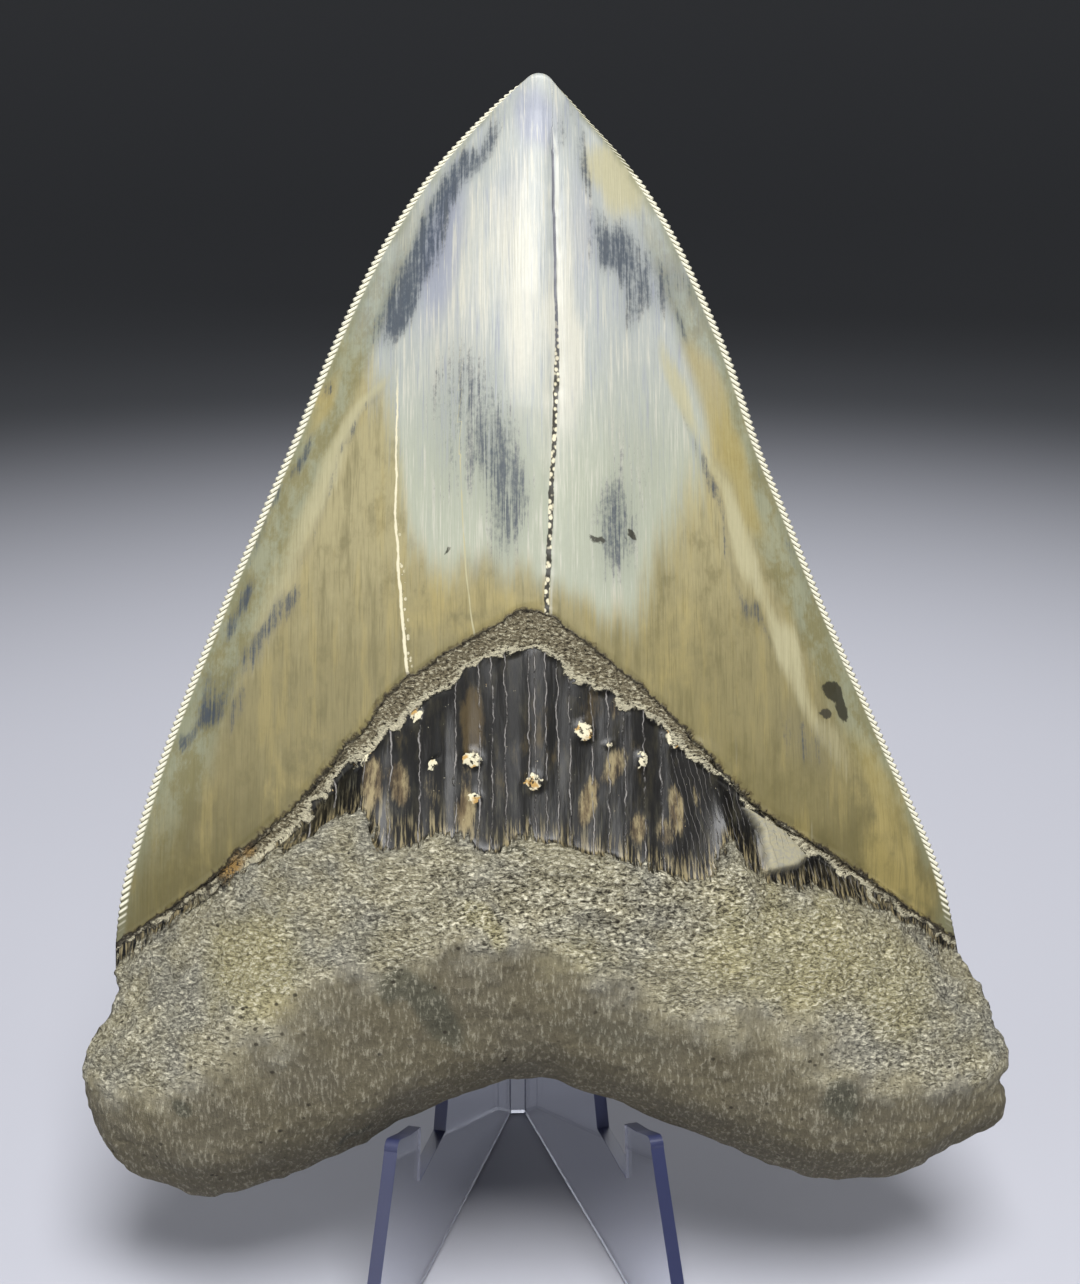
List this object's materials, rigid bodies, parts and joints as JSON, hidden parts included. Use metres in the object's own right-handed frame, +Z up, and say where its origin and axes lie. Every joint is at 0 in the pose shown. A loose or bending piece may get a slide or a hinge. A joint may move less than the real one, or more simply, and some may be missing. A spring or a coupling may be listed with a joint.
{
  "type": "megalodon tooth on a display stand",
  "caption": "Fossil shark tooth with a triangular serrated crown, dark band and arched root, leaning on a clear folded two-wing stand.",
  "frame": {"origin": "middle of the bottom of the stand's spine strip, on the surface the stand rests on", "axes": "+Z up; the tooth's display face looks along -Y; +X to the right as seen from the front"},
  "size_m": [0.1183, 0.0702, 0.1511],
  "materials": {
    "fossil_tooth": "satin",
    "clear_plastic": "gloss"
  },
  "bodies": {
    "root": {"tooth": "fossil_tooth", "stand": "clear_plastic"}
  },
  "joints": []
}
